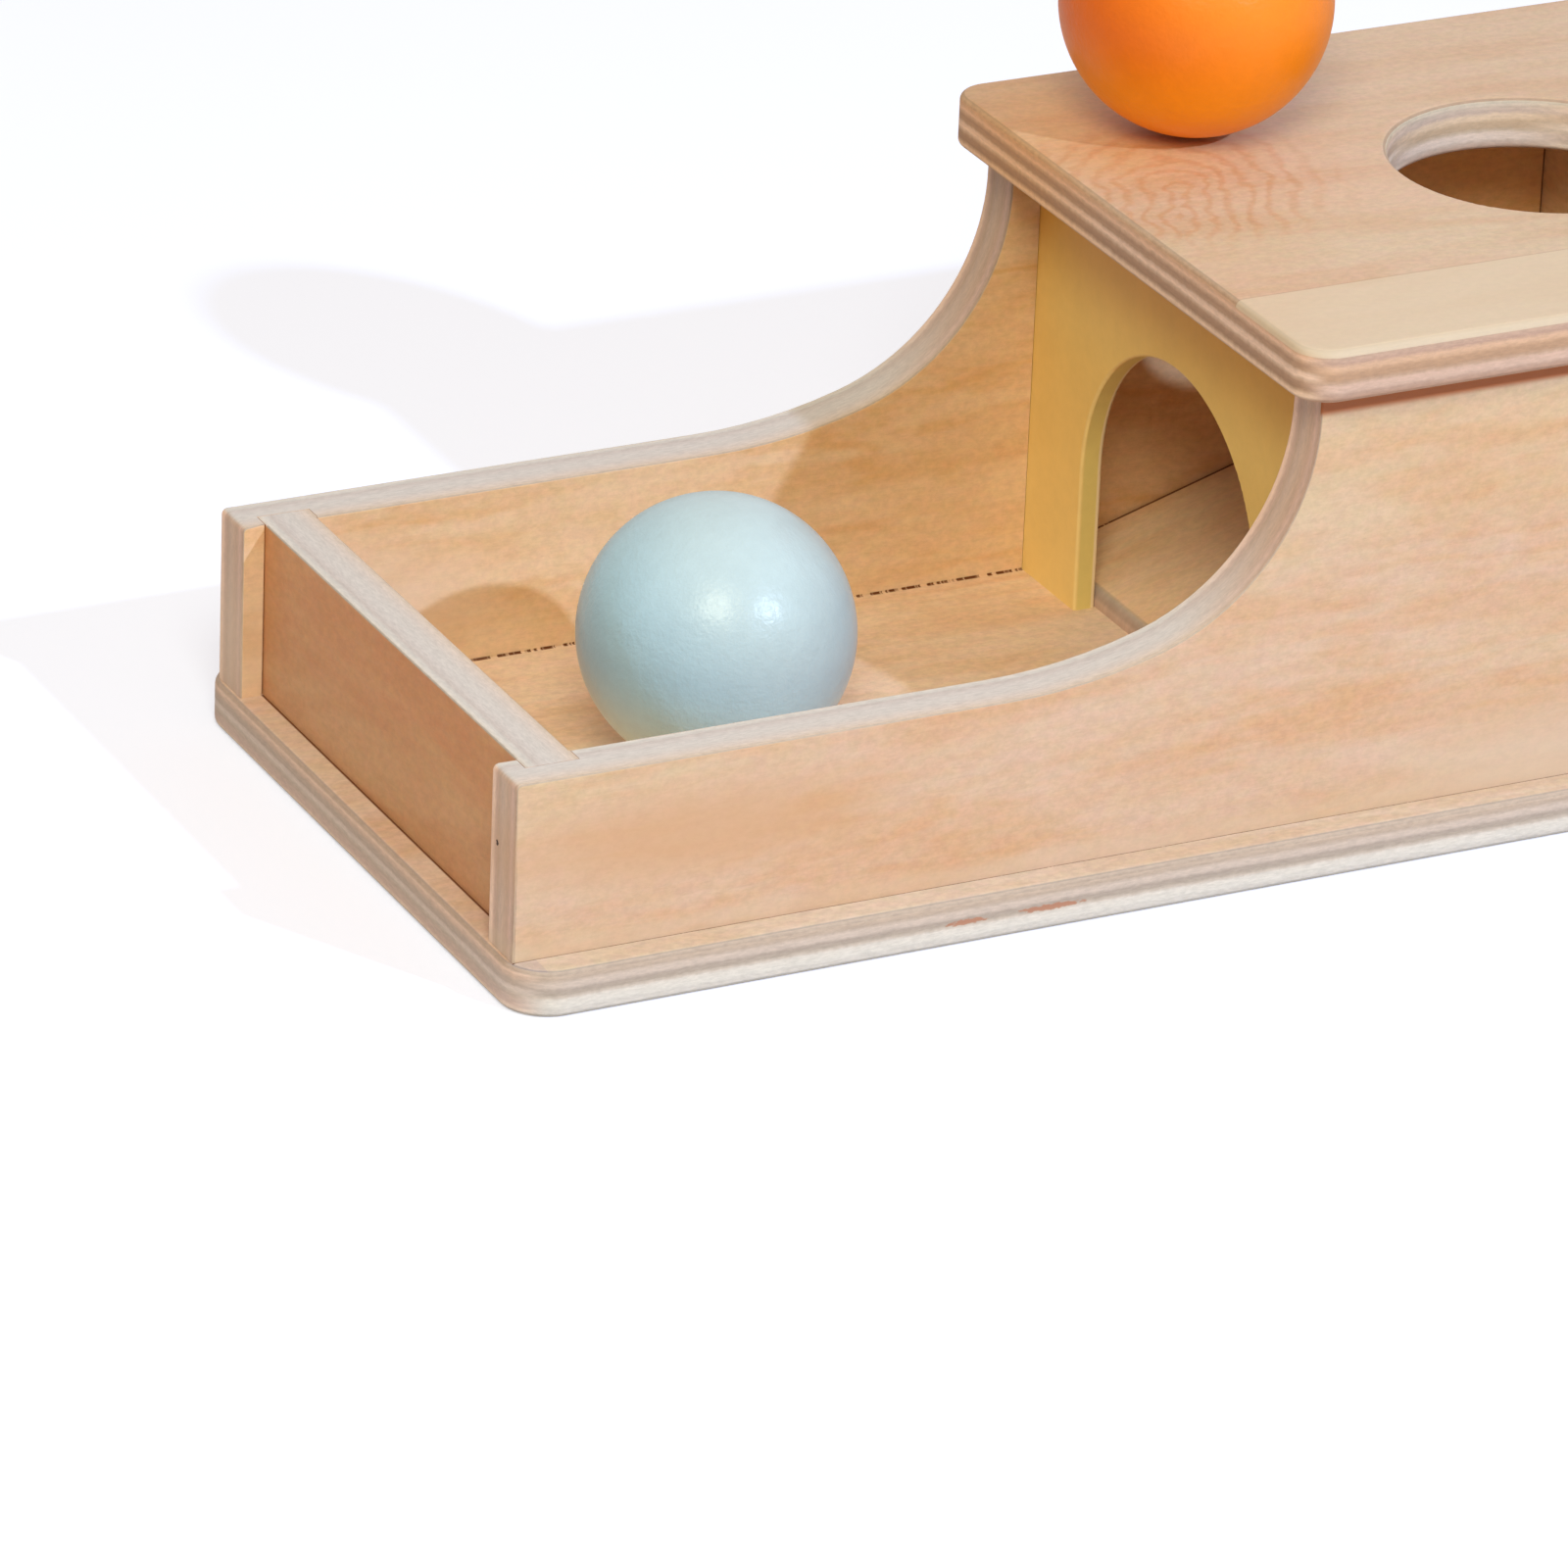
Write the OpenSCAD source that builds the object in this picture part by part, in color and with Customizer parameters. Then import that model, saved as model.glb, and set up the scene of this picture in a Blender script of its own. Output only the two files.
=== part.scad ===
// Object permanence box: a ball dropped through the hole in the top rolls down a ramp,
// out through an arch and into an open tray.
// Millimetres. Origin at the middle of the base's underside, +X from the tray to the box,
// -Y to the near side, +Z up.

/* [Balls] */
// Diameter of each ball
ball_d = 45; // [40:0.5:48]
// Place of the ball in the tray, from the inner face of the tray's end wall to its centre
tray_ball_x = 47.5; // [26:0.5:90]
// Offset of the ball in the tray towards the far side
tray_ball_y = -2; // [-15:0.5:15]
// Place of the ball on the top board, from the high front edge of the side walls
top_ball_x = 22.5; // [10:0.5:30]
// Offset of the ball on the top board towards the far side
top_ball_y = 30; // [0:0.5:38]

/* [Tray and chamber] */
// Clear length of the tray, from its end wall to the arch panel
tray_l = 129.5; // [115:0.5:160]
// Clear length of the covered chamber behind the arch panel
chamber_l = 92.5; // [80:0.5:120]
// Clear width between the side walls
inner_w = 96; // [84:0.5:120]
// Height of the tray walls above the base
tray_h = 30; // [22:0.5:38]
// Height of the full walls above the base
wall_h = 74; // [72:0.5:95]

/* [Boards] */
// Thickness of the side and end walls
wall_t = 9; // [8:0.5:12]
// Thickness of the base board
base_t = 8; // [7:0.5:12]
// Thickness of the top board
top_t = 9; // [7:0.5:12]
// Thickness of the painted arch panel
panel_t = 4; // [3:0.5:6]
// Thickness of the ramp board
ramp_t = 4; // [3.5:0.5:6]

/* [Base board] */
// Overhang of the base past the side walls
base_side_overhang = 5.5; // [2:0.5:10]
// Overhang of the base past the walls' ends at the tray
base_tray_overhang = 1; // [0.5:0.5:6]
// Overhang of the base past the walls' ends at the rear
base_rear_overhang = 5.5; // [2:0.5:10]
// Corner radius of the base in plan
base_corner_r = 8; // [5:0.5:15]

/* [Top board] */
// Overhang of the top board past the side walls
top_side_overhang = 5; // [2:0.5:8]
// Overhang of the top board past the walls' high front edges and past their rear ends
top_end_overhang = 5.5; // [2:0.5:8]
// Corner radius of the top board in plan
top_corner_r = 6; // [4:0.5:12]
// Clearance of the hole round the ball, on the diameter
hole_clearance = 5; // [4:0.5:8]
// Distance from the edge of the hole to the rear wall's inner face
hole_rear_gap = 5.5; // [4:0.5:10]

/* [Side walls] */
// Radius of the long shallow arc that leads out of the tray's edge
lead_r = 90; // [75:1:130]
// Turn of that arc, in degrees, before the tighter arc takes over
lead_deg = 17; // [10:1:22]
// Straight upright stretch of the front edge under the top board
upright_l = 4.5; // [3:0.5:8]
// Radius of the rounded upper corner at the tray's end
tip_r = 1; // [0.5:0.5:3]
// Distance from the walls' ends to the end walls let into them
end_setback = 4; // [3:0.5:8]
// Depth of the housings that take the end walls
housing_depth = 3.5; // [2:0.5:4]

/* [Arch panel] */
// Distance of the painted panel behind the walls' high front edges
panel_inset = 5.5; // [4:0.5:10]
// Depth of the grooves that take the panel
groove_depth = 3; // [2:0.5:4]
// Clearance of the arch round the ball, on its width
arch_side_clearance = 14; // [8:0.5:18]
// Clearance of the arch over the ball
arch_top_clearance = 10; // [6:0.5:14]

/* [Ramp] */
// Slope of the ramp, in degrees
ramp_deg = 17; // [15:0.5:18]
// Height at the ramp's front where its slope starts, before the front edge is rounded
ramp_lip = 2.5; // [1:0.5:3]
// Upright part left on the ramp's front edge below the rounding
ramp_edge = 0.5; // [0.3:0.1:0.8]
// Height of the strip on the rear wall that carries the ramp
rest_h = 12; // [8:0.5:14]
// Thickness of that strip
rest_t = 10; // [6:0.5:14]

/* [Screws and dowels] */
// Shank diameter of the base screws
screw_d = 3.5; // [3:0.1:4]
// Head diameter of the base screws
screw_head_d = 7; // [6:0.1:8]
// Length of the base screws
screw_l = 25; // [20:1:30]
// Depth of the screw heads below the underside of the base
screw_sink = 0.4; // [0.3:0.1:1]
// Diameter of the dowels under the top board
dowel_d = 5; // [4:0.5:6]
// Length of the dowels
dowel_l = 16; // [12:1:24]
// Depth of the dowels in the top board
dowel_top_depth = 4.5; // [3:0.5:5]

/* [Finish] */
// Radius of the sanded edges of the base and top boards
board_ease = 1.2; // [0.6:0.1:2]
// Radius of the sanded upper edges of the tray's end wall
wall_ease = 0.4; // [0.2:0.1:1.2]
// Radius of the softened edges of the arch
panel_ease = 0.5; // [0.3:0.1:1]

/* [Hidden] */

// Gap between glued pieces, on each side
glue_gap = 0.1;
// Gap left under each loose ball
rest_gap = 0.3;
// Gap round screws and dowels in their holes, on the radius
pin_gap = 0.05;
// Gap past the ends of screws and dowels in their holes
end_gap = 0.3;
// Overrun of every cut past the face it leaves by
over = 1;
// Facets of round shapes
$fn = 96;
// Turn of each step along the curves of a side wall's edge, in degrees
arc_step = 3;

// Places of the screws along a side wall and of the dowels along its full-height part
screw_place_shares = [0.1, 0.37, 0.63, 0.9];
dowel_place_shares = [0.25, 0.75];
// Places of the dowels in the rear wall, each side of the middle
rear_dowel_shares = [-0.3, 0.3];
// Cross recess of a screw head: width and depth as shares of the head's diameter
recess_w_share = 0.16;
recess_l_share = 0.6;
recess_depth_share = 0.2;
// Pointed end of a screw and chamfer of a dowel, as shares of their diameters
screw_point_share = 1.4;
dowel_chamfer_share = 0.16;

// Lengths along the walls, from their tray ends
tray_x0 = end_setback + wall_t;
panel_x = tray_x0 + tray_l;
front_x = panel_x - panel_inset;
chamber_x = panel_x + panel_t;
rear_x = chamber_x + chamber_l;
wall_l = rear_x + wall_t + end_setback;

// Outer width over the walls and the size of the base
outer_w = inner_w + 2 * wall_t;
base_l = base_tray_overhang + wall_l + base_rear_overhang;
base_w = outer_w + 2 * base_side_overhang;

// Heights of the base's upper face and of the top board's two faces
floor_z = base_t;
lid_z = floor_z + wall_h;
lid_top_z = lid_z + top_t;

// Where the walls' tray ends stand in the part's frame
walls_x = base_tray_overhang - base_l / 2;

// The sweep: a long arc rises out of the tray's edge and a tighter one turns it upright.
// The tight arc is as large as the height between the tray's edge and the upright allows.
upright_z = wall_h - upright_l;
sweep_r = lead_r - (tray_h + lead_r - upright_z) / cos(lead_deg);
sweep_x = front_x - sweep_r;
lead_x = sweep_x - (lead_r - sweep_r) * sin(lead_deg);

// Top board in plan
top_x0 = front_x - top_end_overhang;
top_l = wall_l + top_end_overhang - top_x0;
top_w = outer_w + 2 * top_side_overhang;
hole_r = (ball_d + hole_clearance) / 2;
hole_x = rear_x - hole_rear_gap - hole_r;

// Arch: upright jambs under a half circle
arch_r = (ball_d + arch_side_clearance) / 2;
arch_spring_z = ball_d + arch_top_clearance - arch_r;

// Ramp: its two ends, its thickness measured upright, and the heights of its faces above the base
ramp_x0 = chamber_x + glue_gap;
ramp_x1 = rear_x - glue_gap;
ramp_drop = ramp_t / cos(ramp_deg);
ramp_foot_x = ramp_x0 + (ramp_drop - ramp_lip) / tan(ramp_deg);
ramp_nose_r = (ramp_lip - ramp_edge) / tan((90 - ramp_deg) / 2);
function ramp_top(x) = ramp_lip + (x - ramp_x0) * tan(ramp_deg);
function ramp_under(x) = ramp_top(x) - ramp_drop;

// Strip under the high end of the ramp
rest_x = rear_x - rest_t;
function rest_top(x) = ramp_under(x) - glue_gap;
rest_z = rest_top(rest_x);

// Widths of the pieces let into the side walls, less the glue gaps
end_wall_w = inner_w + 2 * (housing_depth - glue_gap);
panel_w = inner_w + 2 * (groove_depth - glue_gap);
ramp_w = inner_w - 4 * glue_gap;

// Screws and dowels
screw_head_h = (screw_head_d - screw_d) / 2;
screw_hole_depth = screw_sink + screw_l + end_gap - base_t;
dowel_wall_depth = dowel_l - dowel_top_depth;
wall_mid_y = (inner_w + wall_t) / 2;
rear_mid_x = rear_x + wall_t / 2;
screw_xs = [for (s = screw_place_shares) s * wall_l];
dowel_xs = [for (s = dowel_place_shares) front_x + s * (wall_l - front_x)];
rear_dowel_ys = [for (s = rear_dowel_shares) s * inner_w];

// Colours
birch = [0.87, 0.73, 0.59];
birch_light = [0.89, 0.77, 0.62];
mustard = [0.80, 0.65, 0.31];
duck_egg = [0.74, 0.85, 0.86];
orange = [0.98, 0.53, 0.18];
zinc = [0.72, 0.72, 0.70];
beech = [0.80, 0.64, 0.46];

// Section of a board of thickness t next to one of its sanded edges, which lies along the Y axis.
// The wood runs from the edge to a depth along +X.
module edge_section(depth, t, ease) {
    translate([ease, 0]) square([depth - ease, t]);
    translate([0, ease]) square([depth, t - 2 * ease]);
    for (y = [ease, t - ease]) translate([ease, y]) circle(r = ease);
}

// Stretch of board with a straight sanded edge along +X from the origin and the wood on its +Y side
module straight_edge(length, depth, t, ease) {
    rotate([90, 0, 90]) linear_extrude(length) edge_section(depth, t, ease);
}

// Stretch of board with a hollow sanded edge of radius r about the origin and the wood outside it
module hollow_edge(r, start_deg, turn_deg, depth, t, ease) {
    rotate([0, 0, start_deg]) rotate_extrude(angle = turn_deg) translate([r, 0]) edge_section(depth, t, ease);
}

// Quarter of a disc that fills a corner of a board, with a sanded edge of radius r about the origin
module round_corner(r, start_deg, t, ease) {
    rotate([0, 0, start_deg]) rotate_extrude(angle = 90) {
        square([r - ease, t]);
        translate([0, ease]) square([r, t - 2 * ease]);
        for (y = [ease, t - ease]) translate([r - ease, y]) circle(r = ease);
    }
}

// What rounding takes off the rim of a hole of radius r, on the face at the origin
module rim_cut(r, ease) {
    rotate_extrude() translate([r, 0]) difference() {
        translate([-over, -over]) square(ease + over);
        translate([ease, ease]) circle(r = ease);
    }
}

// Section of a board a wide and b thick with all its corners sanded to r, from the origin
module rounded_rect(a, b, r) {
    translate([r, 0]) square([a - 2 * r, b]);
    translate([0, r]) square([a, b - 2 * r]);
    for (x = [r, a - r], y = [r, b - r]) translate([x, y]) circle(r = r);
}

// Board l by w by t, centred in plan, with corners of radius r and every edge sanded
module eased_board(l, w, t, r, ease) {
    translate([r - l / 2, 0, 0]) rotate([90, 0, 90]) linear_extrude(l - 2 * r)
        translate([-w / 2, 0]) rounded_rect(w, t, ease);
    translate([0, w / 2 - r, 0]) rotate([90, 0, 0]) linear_extrude(w - 2 * r)
        translate([-l / 2, 0]) rounded_rect(l, t, ease);
    for (q = [[1, 1, 0], [-1, 1, 90], [-1, -1, 180], [1, -1, 270]])
        translate([q[0] * (l / 2 - r), q[1] * (w / 2 - r), 0]) round_corner(r, q[2], t, ease);
}

// Points along an arc from start_deg to end_deg, in steps of about arc_step
function arc_points(x, y, r, start_deg, end_deg) =
    let (steps = ceil(abs(end_deg - start_deg) / arc_step))
    [for (i = [0:steps])
        let (a = start_deg + (end_deg - start_deg) * i / steps)
        [x + r * cos(a), y + r * sin(a)]];

// Outline of a side wall: the rounded tip at the tray's end, the tray's edge, the two arcs of the
// sweep, the upright front edge and the square rear
module wall_outline() {
    polygon(concat(
        [[0, 0]],
        arc_points(tip_r, tray_h - tip_r, tip_r, 180, 90),
        arc_points(lead_x, tray_h + lead_r, lead_r, -90, lead_deg - 90),
        arc_points(sweep_x, upright_z, sweep_r, lead_deg - 90 + arc_step, 0),
        [[front_x, wall_h], [wall_l, wall_h], [wall_l, 0]]));
}

// Housing across the inner face of a side wall for a piece of thickness t
module housing(x, t, depth) {
    translate([x - glue_gap, -over, -over]) cube([t + 2 * glue_gap, wall_h + 2 * over, depth + over]);
}

// Side wall lying on its inner face, with its outline in the XY plane
module side_wall() {
    difference() {
        linear_extrude(wall_t) wall_outline();
        housing(end_setback, wall_t, housing_depth);
        housing(panel_x, panel_t, groove_depth);
        housing(rear_x, wall_t, housing_depth);
        for (x = screw_xs) translate([x, -over, wall_t / 2]) rotate([-90, 0, 0])
            cylinder(d = screw_d + 2 * pin_gap, h = screw_hole_depth + over);
        for (x = dowel_xs) translate([x, wall_h + over, wall_t / 2]) rotate([90, 0, 0])
            cylinder(d = dowel_d + 2 * pin_gap, h = dowel_wall_depth + end_gap + over);
    }
}

// Stands a side wall on the base with its inner face towards the middle
module stand_wall() {
    translate([walls_x, -inner_w / 2, floor_z]) rotate([90, 0, 0]) children();
}

// One countersunk screw hole in the base, from its underside
module screw_hole() {
    translate([0, 0, -over]) cylinder(d = screw_d + 2 * pin_gap, h = base_t + 2 * over);
    translate([0, 0, -over]) cylinder(d = screw_head_d + 4 * pin_gap, h = over + screw_sink);
    translate([0, 0, screw_sink]) cylinder(d1 = screw_head_d + 4 * pin_gap, d2 = screw_d + 2 * pin_gap,
                                           h = screw_head_h + pin_gap);
}

// Places each screw under the middle of a side wall
module at_screws() {
    for (x = screw_xs, side = [-1, 1]) translate([walls_x + x, side * wall_mid_y, 0]) children();
}

// Places each dowel in the plane where the walls meet the top board
module at_dowels() {
    for (x = dowel_xs, side = [-1, 1]) translate([walls_x + x, side * wall_mid_y, lid_z]) children();
    for (y = rear_dowel_ys) translate([walls_x + rear_mid_x, y, lid_z]) children();
}

// One dowel hole, about the plane where the walls meet the top board
module dowel_hole() {
    translate([0, 0, -dowel_wall_depth - end_gap])
        cylinder(d = dowel_d + 2 * pin_gap, h = dowel_l + 2 * end_gap);
}

// One countersunk screw, head down, with a cross recess
module wood_screw() {
    shank_l = screw_l - screw_head_h - screw_point_share * screw_d;
    recess_l = recess_l_share * screw_head_d;
    recess_w = recess_w_share * screw_head_d;
    recess_depth = recess_depth_share * screw_head_d;
    difference() {
        union() {
            cylinder(d1 = screw_head_d, d2 = screw_d, h = screw_head_h);
            translate([0, 0, screw_head_h]) cylinder(d = screw_d, h = shank_l);
            translate([0, 0, screw_head_h + shank_l])
                cylinder(d1 = screw_d, d2 = 0, h = screw_point_share * screw_d);
        }
        for (turn = [0, 90]) rotate([0, 0, turn])
            translate([-recess_l / 2, -recess_w / 2, -over]) cube([recess_l, recess_w, recess_depth + over]);
    }
}

// One dowel standing on its lower end, with chamfered ends
module dowel() {
    chamfer = dowel_chamfer_share * dowel_d;
    cylinder(d1 = dowel_d - 2 * chamfer, d2 = dowel_d, h = chamfer);
    translate([0, 0, chamfer]) cylinder(d = dowel_d, h = dowel_l - 2 * chamfer);
    translate([0, 0, dowel_l - chamfer]) cylinder(d1 = dowel_d, d2 = dowel_d - 2 * chamfer, h = chamfer);
}

// Painted panel lying on its front, with its foot along X: two legs and the head over them.
// The edge of the arch is sanded.
module panel_blank() {
    leg_w = panel_w / 2 - arch_r;
    translate([arch_r, arch_spring_z, 0]) rotate([0, 0, -90])
        straight_edge(arch_spring_z, leg_w, panel_t, panel_ease);
    translate([-arch_r, 0, 0]) rotate([0, 0, 90]) straight_edge(arch_spring_z, leg_w, panel_t, panel_ease);
    intersection() {
        translate([0, arch_spring_z, 0]) hollow_edge(arch_r, 0, 180, wall_h + panel_w, panel_t, panel_ease);
        translate([-panel_w / 2, 0, -over]) cube([panel_w, wall_h, panel_t + 2 * over]);
    }
}

module base_board() {
    color(birch) difference() {
        eased_board(base_l, base_w, base_t, base_corner_r, board_ease);
        at_screws() screw_hole();
    }
}

module near_side_wall() {
    color(birch) stand_wall() side_wall();
}

module far_side_wall() {
    color(birch) mirror([0, 1, 0]) stand_wall() side_wall();
}

// Section of the tray's end wall, with its two upper edges sanded
module end_wall_section() {
    square([wall_t, tray_h - wall_ease]);
    translate([wall_ease, 0]) square([wall_t - 2 * wall_ease, tray_h]);
    for (x = [wall_ease, wall_t - wall_ease]) translate([x, tray_h - wall_ease])
        circle(r = wall_ease);
}

// Extrudes a section drawn along and up across the middle of the box, to a width
module across(width) {
    translate([walls_x, width / 2, floor_z]) rotate([90, 0, 0]) linear_extrude(width) children();
}

// The sanded edges stop at the side walls, and the tongues in the housings stay square
module tray_end_wall() {
    color(birch) {
        across(inner_w) translate([end_setback, 0]) end_wall_section();
        for (side = [-1, 1])
            translate([0, side * (inner_w + end_wall_w) / 4, 0])
                across((end_wall_w - inner_w) / 2)
                    translate([end_setback, 0]) square([wall_t, tray_h]);
    }
}

module rear_end_wall() {
    color(birch) difference() {
        across(end_wall_w) translate([rear_x, 0]) square([wall_t, wall_h]);
        at_dowels() dowel_hole();
    }
}

module arch_panel() {
    color(mustard) translate([walls_x + panel_x, 0, floor_z]) rotate([90, 0, 90]) panel_blank();
}

// Sloping board with a rounded front edge, a foot planed flat on the base and an upright rear edge
module ramp_board() {
    color(birch_light) across(ramp_w) polygon(concat(
        [[ramp_x0, 0], [ramp_foot_x, 0], [ramp_x1, ramp_under(ramp_x1)], [ramp_x1, ramp_top(ramp_x1)]],
        arc_points(ramp_x0 + ramp_nose_r, ramp_edge, ramp_nose_r, 90 + ramp_deg, 180)));
}

// Strip on the rear wall, planed to the ramp's slope
module ramp_rest() {
    color(beech) across(ramp_w) polygon([
        [rest_x, rest_z - rest_h], [rear_x, rest_z - rest_h],
        [rear_x, rest_top(rear_x)], [rest_x, rest_z]]);
}

module top_board() {
    color(birch_light) difference() {
        translate([walls_x + top_x0 + top_l / 2, 0, lid_z])
            eased_board(top_l, top_w, top_t, top_corner_r, board_ease);
        translate([walls_x + hole_x, 0, lid_z]) {
            translate([0, 0, -over]) cylinder(r = hole_r, h = top_t + 2 * over);
            rim_cut(hole_r, board_ease);
            translate([0, 0, top_t]) mirror([0, 0, 1]) rim_cut(hole_r, board_ease);
        }
        at_dowels() dowel_hole();
    }
}

module blue_ball() {
    ball_z = floor_z + rest_gap + ball_d / 2;
    color(duck_egg) translate([walls_x + tray_x0 + tray_ball_x, tray_ball_y, ball_z]) sphere(d = ball_d);
}

module orange_ball() {
    ball_z = lid_top_z + rest_gap + ball_d / 2;
    color(orange) translate([walls_x + front_x + top_ball_x, top_ball_y, ball_z]) sphere(d = ball_d);
}

module base_screws() {
    color(zinc) at_screws() translate([0, 0, screw_sink]) wood_screw();
}

module top_dowels() {
    color(beech) at_dowels() translate([0, 0, -dowel_wall_depth]) dowel();
}

base_board();
near_side_wall();
far_side_wall();
tray_end_wall();
rear_end_wall();
arch_panel();
ramp_board();
ramp_rest();
top_board();
blue_ball();
orange_ball();
base_screws();
top_dowels();
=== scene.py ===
"""Looks of an object permanence box: an open tray, a covered chamber with an arch and a ramp,
a top board with a hole, and two painted balls. Lengths are in metres, in the CAD's own frame."""

import math

import bmesh
import bpy
import numpy as np
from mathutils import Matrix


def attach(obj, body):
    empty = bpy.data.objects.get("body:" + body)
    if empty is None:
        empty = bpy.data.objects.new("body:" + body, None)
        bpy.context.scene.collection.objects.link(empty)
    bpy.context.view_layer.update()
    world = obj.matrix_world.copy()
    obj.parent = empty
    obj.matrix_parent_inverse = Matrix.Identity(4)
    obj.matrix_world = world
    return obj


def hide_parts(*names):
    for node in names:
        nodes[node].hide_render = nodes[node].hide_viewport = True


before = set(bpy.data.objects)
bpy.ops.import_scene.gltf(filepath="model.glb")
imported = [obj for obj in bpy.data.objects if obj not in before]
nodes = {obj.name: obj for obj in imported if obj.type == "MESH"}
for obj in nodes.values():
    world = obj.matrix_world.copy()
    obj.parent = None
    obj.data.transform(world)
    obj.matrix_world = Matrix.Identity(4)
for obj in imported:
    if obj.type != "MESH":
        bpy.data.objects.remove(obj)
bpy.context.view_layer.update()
scene = bpy.context.scene

MM = 0.001
TO_MM = 1000.0
X, Y, Z = 0, 1, 2


def srgb(red, green, blue):
    """A colour written as 8-bit screen values, as the linear colour that shaders take."""
    return tuple(
        c / 12.92 if c <= 0.04045 else ((c + 0.055) / 1.055) ** 2.4
        for c in (red / 255, green / 255, blue / 255)
    ) + (1.0,)


# Camera at the photograph's viewing angle

camera = bpy.data.objects.new("photo_camera", bpy.data.cameras.new("photo_camera"))
camera.location = (-0.713714, -1.288460, 0.674548)
camera.rotation_euler = [math.radians(a) for a in (65.02385, -2.10558, -26.14918)]
camera.data.sensor_width = 36
camera.data.lens = 227.341
camera.data.clip_start = 0.01
scene.collection.objects.link(camera)
scene.camera = camera
scene.view_settings.view_transform = "Standard"


# Short ways to write shader nodes


def feed(tree, made, inputs):
    """Sets each input of a node to a value, or joins it to the output that feeds it."""
    for key, value in inputs.items():
        if isinstance(value, bpy.types.NodeSocket):
            tree.links.new(value, made.inputs[key])
        else:
            made.inputs[key].default_value = value


def node(tree, kind, inputs=None, **settings):
    """A shader node with its settings and inputs."""
    made = tree.nodes.new("ShaderNode" + kind)
    for name, value in settings.items():
        setattr(made, name, value)
    feed(tree, made, inputs or {})
    return made


def maths(tree, operation, a, b=0.0, clamp=False):
    """The result of one operation on two values."""
    return node(tree, "Math", {0: a, 1: b}, operation=operation, use_clamp=clamp).outputs[0]


def plus(tree, a, b):
    """The sum of two values."""
    return maths(tree, "ADD", a, b)


def minus(tree, a, b):
    """The first value less the second."""
    return maths(tree, "SUBTRACT", a, b)


def times(tree, a, b):
    """The product of two values."""
    return maths(tree, "MULTIPLY", a, b)


def divided(tree, a, b):
    """The first value over the second."""
    return maths(tree, "DIVIDE", a, b)


def above(tree, value, limit):
    """1 where a value is greater than a limit, 0 elsewhere."""
    return maths(tree, "GREATER_THAN", value, limit)


def below(tree, value, limit):
    """1 where a value is less than a limit, 0 elsewhere."""
    return maths(tree, "LESS_THAN", value, limit)


def joined(tree, x, y=0.0, z=0.0):
    """A vector put together from its parts."""
    return node(tree, "CombineXYZ", {X: x, Y: y, Z: z}).outputs[0]


def split(tree, vector):
    """The parts of a vector."""
    return node(tree, "SeparateXYZ", {0: vector}).outputs


def length(tree, vector):
    """The length of a vector."""
    return node(tree, "VectorMath", {0: vector}, operation="LENGTH").outputs["Value"]


def in_mm(tree, vector):
    """A place in millimetres."""
    inputs = {0: vector, 1: (TO_MM,) * 3}
    return node(tree, "VectorMath", inputs, operation="MULTIPLY").outputs[0]


def remap(tree, value, low, high, to_low=0.0, to_high=1.0):
    """A value carried smoothly from the span low..high to the span to_low..to_high."""
    inputs = {
        "Value": value,
        "From Min": low,
        "From Max": high,
        "To Min": to_low,
        "To Max": to_high,
    }
    return node(tree, "MapRange", inputs, interpolation_type="SMOOTHSTEP").outputs[0]


def between(tree, share, a, b):
    """Two values mixed by a share."""
    return node(tree, "Mix", {0: share, 2: a, 3: b}, data_type="FLOAT").outputs[0]


def mixed(tree, share, a, b, mode="MIX"):
    """Two colours mixed by a share."""
    made = node(tree, "Mix", {0: share, 6: a, 7: b}, data_type="RGBA", blend_type=mode)
    return made.outputs[2]


def toned(tree, share, colour, factors):
    """A colour multiplied by factors where a mask says so."""
    return mixed(tree, share, colour, (*factors, 1.0), "MULTIPLY")


def shaded(tree, colour, level):
    """A colour multiplied by one level."""
    grey = node(tree, "CombineColor", {0: level, 1: level, 2: level}).outputs[0]
    return mixed(tree, 1.0, colour, grey, "MULTIPLY")


def ramp(tree, value, stops):
    """A colour read off a scale of (place, colour) stops."""
    made = node(tree, "ValToRGB", {0: value})
    scale = made.color_ramp
    while len(scale.elements) < len(stops):
        scale.elements.new(1.0)
    for element, (place, colour) in zip(scale.elements, stops):
        element.position, element.color = place, colour
    return made.outputs[0]


def noise(tree, place, sizes, detail=2.0, roughness=0.5, distortion=0.0):
    """Noise whose blotches have the given sizes, in millimetres, along each axis of place."""
    inputs = {0: place, 1: [1 / s for s in sizes]}
    stretched = node(tree, "VectorMath", inputs, operation="MULTIPLY")
    inputs = {
        "Vector": stretched.outputs[0],
        "Scale": 1.0,
        "Detail": detail,
        "Roughness": roughness,
        "Distortion": distortion,
    }
    return node(tree, "TexNoise", inputs).outputs[0]


def group(name, inputs, outputs):
    """An empty node group with named sockets, what it is given, and its end node."""
    tree = bpy.data.node_groups.new(name, "ShaderNodeTree")
    for in_out, sockets in (("INPUT", inputs), ("OUTPUT", outputs)):
        for socket, kind in sockets.items():
            tree.interface.new_socket(socket, in_out=in_out, socket_type="NodeSocket" + kind)
    return tree, tree.nodes.new("NodeGroupInput").outputs, tree.nodes.new("NodeGroupOutput")


def use(tree, group_tree, inputs):
    """A node group placed in a material, with this material's own values."""
    made = tree.nodes.new("ShaderNodeGroup")
    made.node_tree = group_tree
    feed(tree, made, inputs)
    return made.outputs


# Birch plywood: rotary-cut face veneers, and the layers that show on every cut edge. Each list
# gives the layers from one face to the other, as shares of the thickness. Long edges run along
# the grain of the faces, and end edges across it.

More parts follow.
